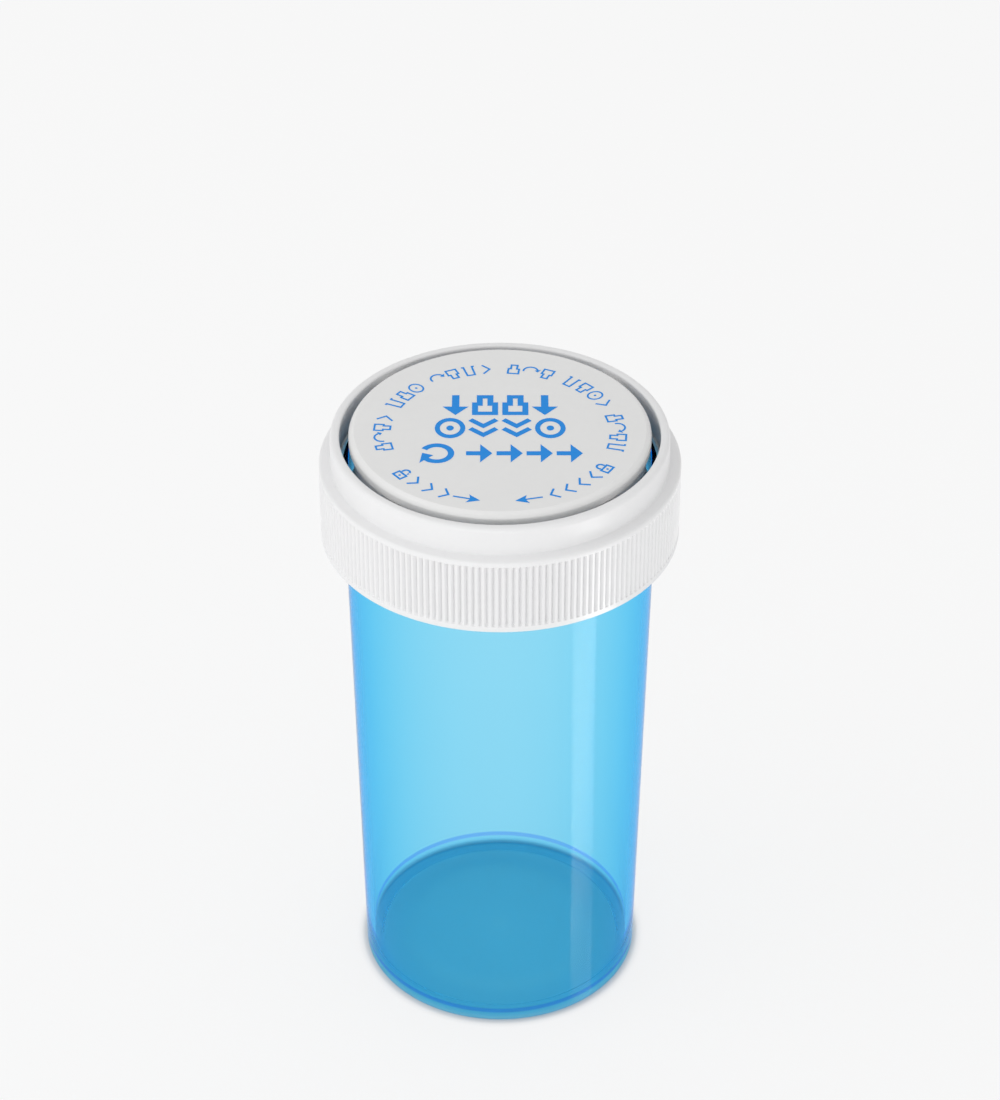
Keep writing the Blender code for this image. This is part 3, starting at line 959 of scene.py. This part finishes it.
class VIAL_OT_print(bpy.types.Operator):
    """Print the disc with pictures that say push down, turn, and turn the cap over"""

    bl_idname = "vial.print"
    bl_label = "Print"

    def execute(self, context):
        loops = self.block() + self.ring_words() + self.open_and_close()
        curve = bpy.data.curves.new("print", "CURVE")
        curve.dimensions = "2D"
        curve.fill_mode = "BOTH"
        curve.extrude = INK_THICKNESS / 2
        for loop in loops:
            spline = curve.splines.new("POLY")
            spline.points.add(len(loop) - 1)
            for point, (x, y) in zip(spline.points, loop):
                point.co = (x, y, 0.0, 1.0)
            spline.use_cyclic_u = True
        drawn = bpy.data.objects.new("print", curve)
        context.scene.collection.objects.link(drawn)
        context.view_layer.update()
        filled = drawn.evaluated_get(context.evaluated_depsgraph_get())
        mesh = bpy.data.meshes.new_from_object(filled)
        bpy.data.objects.remove(drawn)
        work = bmesh.new()
        work.from_mesh(mesh)
        bmesh.ops.remove_doubles(work, verts=work.verts, dist=0.0001 * MM)
        bmesh.ops.recalc_face_normals(work, faces=work.faces)
        bmesh.ops.translate(work, verts=work.verts, vec=(0.0, 0.0, DISC_HIGH.z - INK_THICKNESS / 2))
        work.to_mesh(mesh)
        work.free()
        piece = bpy.data.objects.new("disc_print", mesh)
        context.scene.collection.objects.link(piece)
        cap = context.scene.cap_sizes
        settle(piece, "cap", None, print_ink(tuple(cap.ink)))
        return {"FINISHED"}

    @staticmethod
    def block():
        """Three bold rows in the middle: push, down, and turn."""
        line = 0.165
        down, cap, ring = mark_down(line), mark_cap(line), mark_ring(line)
        lower, turn, right = mark_down_twice(line), mark_turn(line), mark_right(line)
        rows = [
            (2.9 * MM, 4.6 * MM, [(-5.65, down), (-1.9, cap), (1.95, cap), (5.7, down)]),
            (-2.4 * MM, 4.6 * MM, [(-6.3, ring), (-2.1, lower), (2.1, lower), (6.35, ring)]),
            (-8.2 * MM, 4.8 * MM,
             [(-7.9, turn), (-2.6, right), (1.2, right), (4.95, right), (8.7, right)]),
        ]
        loops = []
        for y, height, marks in rows:
            for x, mark in marks:
                loops += on_line(mark, x * MM, y, height)
        return loops

    @staticmethod
    def ring_words():
        """The thin marks round the top: turn the cap over to plug the vial."""
        line = 0.11
        words = [
            [mark_cap, mark_flip, mark_cap_over, mark_next],
            [mark_vial, mark_cap, mark_ring],
            [mark_flip, mark_cap_over, mark_vial, mark_next],
            [mark_cap, mark_flip, mark_cap_over],
            [mark_vial, mark_cap_over, mark_ring, mark_next],
            [mark_cap, mark_flip, mark_cap_over, mark_vial],
        ]
        spaces = 0.62
        cells = sum(len(word) for word in words) + spaces * (len(words) - 1)
        start, end = 197.0, -17.0
        pitch = (start - end) / cells
        loops = []
        angle = start - pitch / 2
        for word in words:
            for mark in word:
                loops += on_ring(mark(line), PRINT_CENTRE, 13.75 * MM, angle, 2.25 * MM)
                angle -= pitch
            angle -= spaces * pitch
        return loops

    @staticmethod
    def open_and_close():
        """Padlocks and arrows at the front: open that way, close this way."""
        line = 0.12
        base, height = 16.25 * MM, 2.25 * MM
        left = [mark_open_lock, mark_next, mark_next, mark_next]
        right = [mark_back, mark_back, mark_back, mark_back, mark_lock]
        loops = []
        for i, mark in enumerate(left):
            loops += on_ring(mark(line), PRINT_CENTRE, base, -142.5 + 8.7 * i, height, tops_out=False)
        for i, mark in enumerate(right):
            loops += on_ring(mark(line), PRINT_CENTRE, base, -64.0 + 8.1 * i, height, tops_out=False)
        arrow = 3.45 * MM
        middle = base - height / 2
        loops += on_ring(pointer(), PRINT_CENTRE, middle, -105.7, arrow, tops_out=False)
        back = [[(-x, y) for x, y in loop] for loop in pointer()]
        loops += on_ring(back, PRINT_CENTRE, middle, -76.4, arrow, tops_out=False)
        return loops


# Where the floor shines, cut off round the foot for a painted contact shadow, and where a tinted glow is
# painted under the vial for light that falls through it, by share of FLOOR_REACH from the axis.
FLOOR_REACH = 25.0 * MM
FLOOR_PAST_PAINTED_SHADOW = ((0.0, 0.0), (0.735, 0.0), (0.757, 0.3), (0.775, 0.8), (0.80, 1.0))
FLOOR_PAINTED_GLOW_UNDER = ((0.0, 0.8), (0.64, 0.8), (0.67, 1.0), (0.725, 1.0), (0.745, 0.0))

# Place and sides of the two soft lights, in metres.
KEY_LIGHT = ((-0.42, -0.12, 0.52), (0.34, 0.34))
FRONT_LIGHT = ((-0.10, -0.95, 0.26), (0.90, 0.36))

STREAK_SIDES = (9.6 * MM, 12.5 * MM)   # left and right side of the streak, at the foot
STREAK_FOOT = 0.8 * MM
STREAK_LEAN = 0.007                # how far it leans towards the middle for its height
STREAK_ROWS = 28
CARD_LIFT = 0.2 * MM
STREAK_REACH = 60.0 * MM
# How bright the streak's card is, by share of STREAK_REACH in front of the axis.
STREAK_FADE = ((0.29, 0.3), (0.37, 0.52), (0.47, 0.78), (0.62, 1.0), (0.8, 1.0), (1.0, 0.83))


class VIAL_OT_stage(bpy.types.Operator):
    """Set up the pale floor, the soft lights and the camera"""

    bl_idname = "vial.stage"
    bl_label = "Stage"

    def execute(self, context):
        stage = context.scene.stage_sizes
        self.camera(context, stage)
        self.daylight(context, stage)
        self.floor(context, stage)
        self.soft_light("key", *KEY_LIGHT, stage.key)
        self.soft_light("front", *FRONT_LIGHT, stage.front)
        self.streak_card(context.scene.vial_sizes, stage)
        context.scene.view_settings.view_transform = "Standard"
        return {"FINISHED"}

    @staticmethod
    def camera(context, stage):
        """A long lens that looks down on the cap."""
        data = bpy.data.cameras.new("camera")
        data.lens = stage.lens
        data.sensor_width = 36.0
        camera = bpy.data.objects.new("camera", data)
        camera.location = (0.0, -stage.distance, stage.height)
        camera.rotation_euler = (math.pi / 2 - stage.pitch, 0.0, 0.0)
        context.scene.collection.objects.link(camera)
        context.scene.camera = camera

    @staticmethod
    def daylight(context, stage):
        """An even white surround."""
        world = bpy.data.worlds.new("daylight")
        world.use_nodes = True
        sky = world.node_tree.nodes["Background"]
        sky.inputs["Color"].default_value = (1.0, 1.0, 1.0, 1.0)
        sky.inputs["Strength"].default_value = stage.daylight
        context.scene.world = world

    @staticmethod
    def floor(context, stage):
        """A wide pale floor, with a painted contact shadow round the vial's foot and a painted tinted
        glow under it.
        """
        work = bmesh.new()
        bmesh.ops.create_circle(work, cap_ends=True, segments=96, radius=4.0)
        mesh = bpy.data.meshes.new("floor")
        work.to_mesh(mesh)
        work.free()
        piece = bpy.data.objects.new("floor", mesh)
        context.scene.collection.objects.link(piece)
        finish = Finish("floor_white")
        place = finish.place()
        cloud = finish.noise(place, 300.0 * MM)
        share = finish.length_of(place) / FLOOR_REACH
        # Painted contact shadow: the floor's glow is cut off round the vial's foot.
        past_painted_shadow = finish.ramp(FLOOR_PAST_PAINTED_SHADOW, share)
        under = finish.ramp(FLOOR_PAINTED_GLOW_UNDER, share)
        tone = tuple(stage.floor_white)
        lit = finish.mix(cloud, tone, tuple(0.985 * c for c in tone))
        # Painted light: tinted glow under the vial, for light that falls through it.
        tinted = finish.mix(under, (0.0, 0.0, 0.0), tuple(stage.painted_through_light))
        finish.principled({
            "Base Color": finish.mix(past_painted_shadow, tuple(stage.floor_shade), lit),
            "Roughness": 0.9,
            "Specular IOR Level": 0.0,
            "Emission Color": finish.mix(past_painted_shadow, tinted, (1.0, 1.0, 1.0)),
            "Emission Strength": stage.floor_glow,
        })
        piece.data.materials.append(finish.material)

    @staticmethod
    def soft_light(name, place, sides, power):
        """A soft box that faces the cap."""
        data = bpy.data.lights.new(name, "AREA")
        data.shape = "RECTANGLE"
        data.size, data.size_y = sides
        data.energy = power
        light = bpy.data.objects.new(name, data)
        light.location = place
        aim = Vector((0.0, 0.0, 0.06)) - Vector(place)
        light.rotation_euler = aim.to_track_quat("-Z", "Y").to_euler()
        bpy.context.scene.collection.objects.link(light)

    @staticmethod
    def streak_card(vial, stage):
        """A bright card on the floor, seen only as a straight streak on the vial's wall."""
        taper = (vial.neck_radius - vial.foot_radius) / vial.neck_height
        eye = Vector((0.0, -stage.distance, stage.height))
        work = bmesh.new()
        rows = []
        for z in np.linspace(STREAK_FOOT, 1.05 * vial.neck_height, STREAK_ROWS):
            row = []
            for side in STREAK_SIDES:
                radius = vial.foot_radius + taper * z
                x = side - STREAK_LEAN * z
                spot = Vector((x, -math.sqrt(radius ** 2 - x ** 2), z))
                normal = Vector((spot.x, spot.y, -taper * radius)).normalized()
                ray = (spot - eye).normalized().reflect(normal)
                row.append(work.verts.new(spot + ray * (z - CARD_LIFT) / -ray.z))
            rows.append(row)
        for near, far in zip(rows, rows[1:]):
            work.faces.new((near[0], near[1], far[1], far[0]))
        mesh = bpy.data.meshes.new("streak_card")
        work.to_mesh(mesh)
        work.free()
        card = bpy.data.objects.new("streak_card", mesh)
        bpy.context.scene.collection.objects.link(card)
        finish = Finish("streak_glow")
        ahead = finish.part_of(finish.place(), "Y") / -STREAK_REACH
        finish.glow(finish.ramp(STREAK_FADE, ahead), stage.streak)
        card.data.materials.append(finish.material)
        card.visible_camera = False
        card.visible_diffuse = False
        card.visible_transmission = False
        card.visible_shadow = False


OPERATORS = (VIAL_OT_stage, VIAL_OT_body, VIAL_OT_seal, VIAL_OT_spring, VIAL_OT_cap, VIAL_OT_hub,
             VIAL_OT_disc, VIAL_OT_print)
GROUPS = {"vial_sizes": VialSizes, "cap_sizes": CapSizes, "stage_sizes": StageSizes}


class VIAL_PT_panel(bpy.types.Panel):
    """The vial's sizes, colours and pieces"""

    bl_idname = "VIAL_PT_panel"
    bl_label = "Prescription vial"
    bl_space_type = "VIEW_3D"
    bl_region_type = "UI"
    bl_category = "Vial"

    def draw(self, context):
        for operator in OPERATORS:
            self.layout.operator(operator.bl_idname)
        for group in GROUPS:
            box = self.layout.box()
            sizes = getattr(context.scene, group)
            for name in sizes.__annotations__:
                box.prop(sizes, name)


def register():
    for group in GROUPS.values():
        bpy.utils.register_class(group)
    for name, group in GROUPS.items():
        setattr(bpy.types.Scene, name, PointerProperty(type=group))
    for operator in OPERATORS:
        bpy.utils.register_class(operator)
    bpy.utils.register_class(VIAL_PT_panel)


def unregister():
    bpy.utils.unregister_class(VIAL_PT_panel)
    for operator in reversed(OPERATORS):
        bpy.utils.unregister_class(operator)
    for name in GROUPS:
        delattr(bpy.types.Scene, name)
    for group in reversed(list(GROUPS.values())):
        bpy.utils.unregister_class(group)


def main():
    """Make the stage and every piece."""
    register()
    bpy.ops.vial.stage()
    bpy.ops.vial.body()
    bpy.ops.vial.seal()
    bpy.ops.vial.spring()
    bpy.ops.vial.cap()
    bpy.ops.vial.hub()
    bpy.ops.vial.disc()
    bpy.ops.vial.print()


if __name__ == "__main__":
    main()
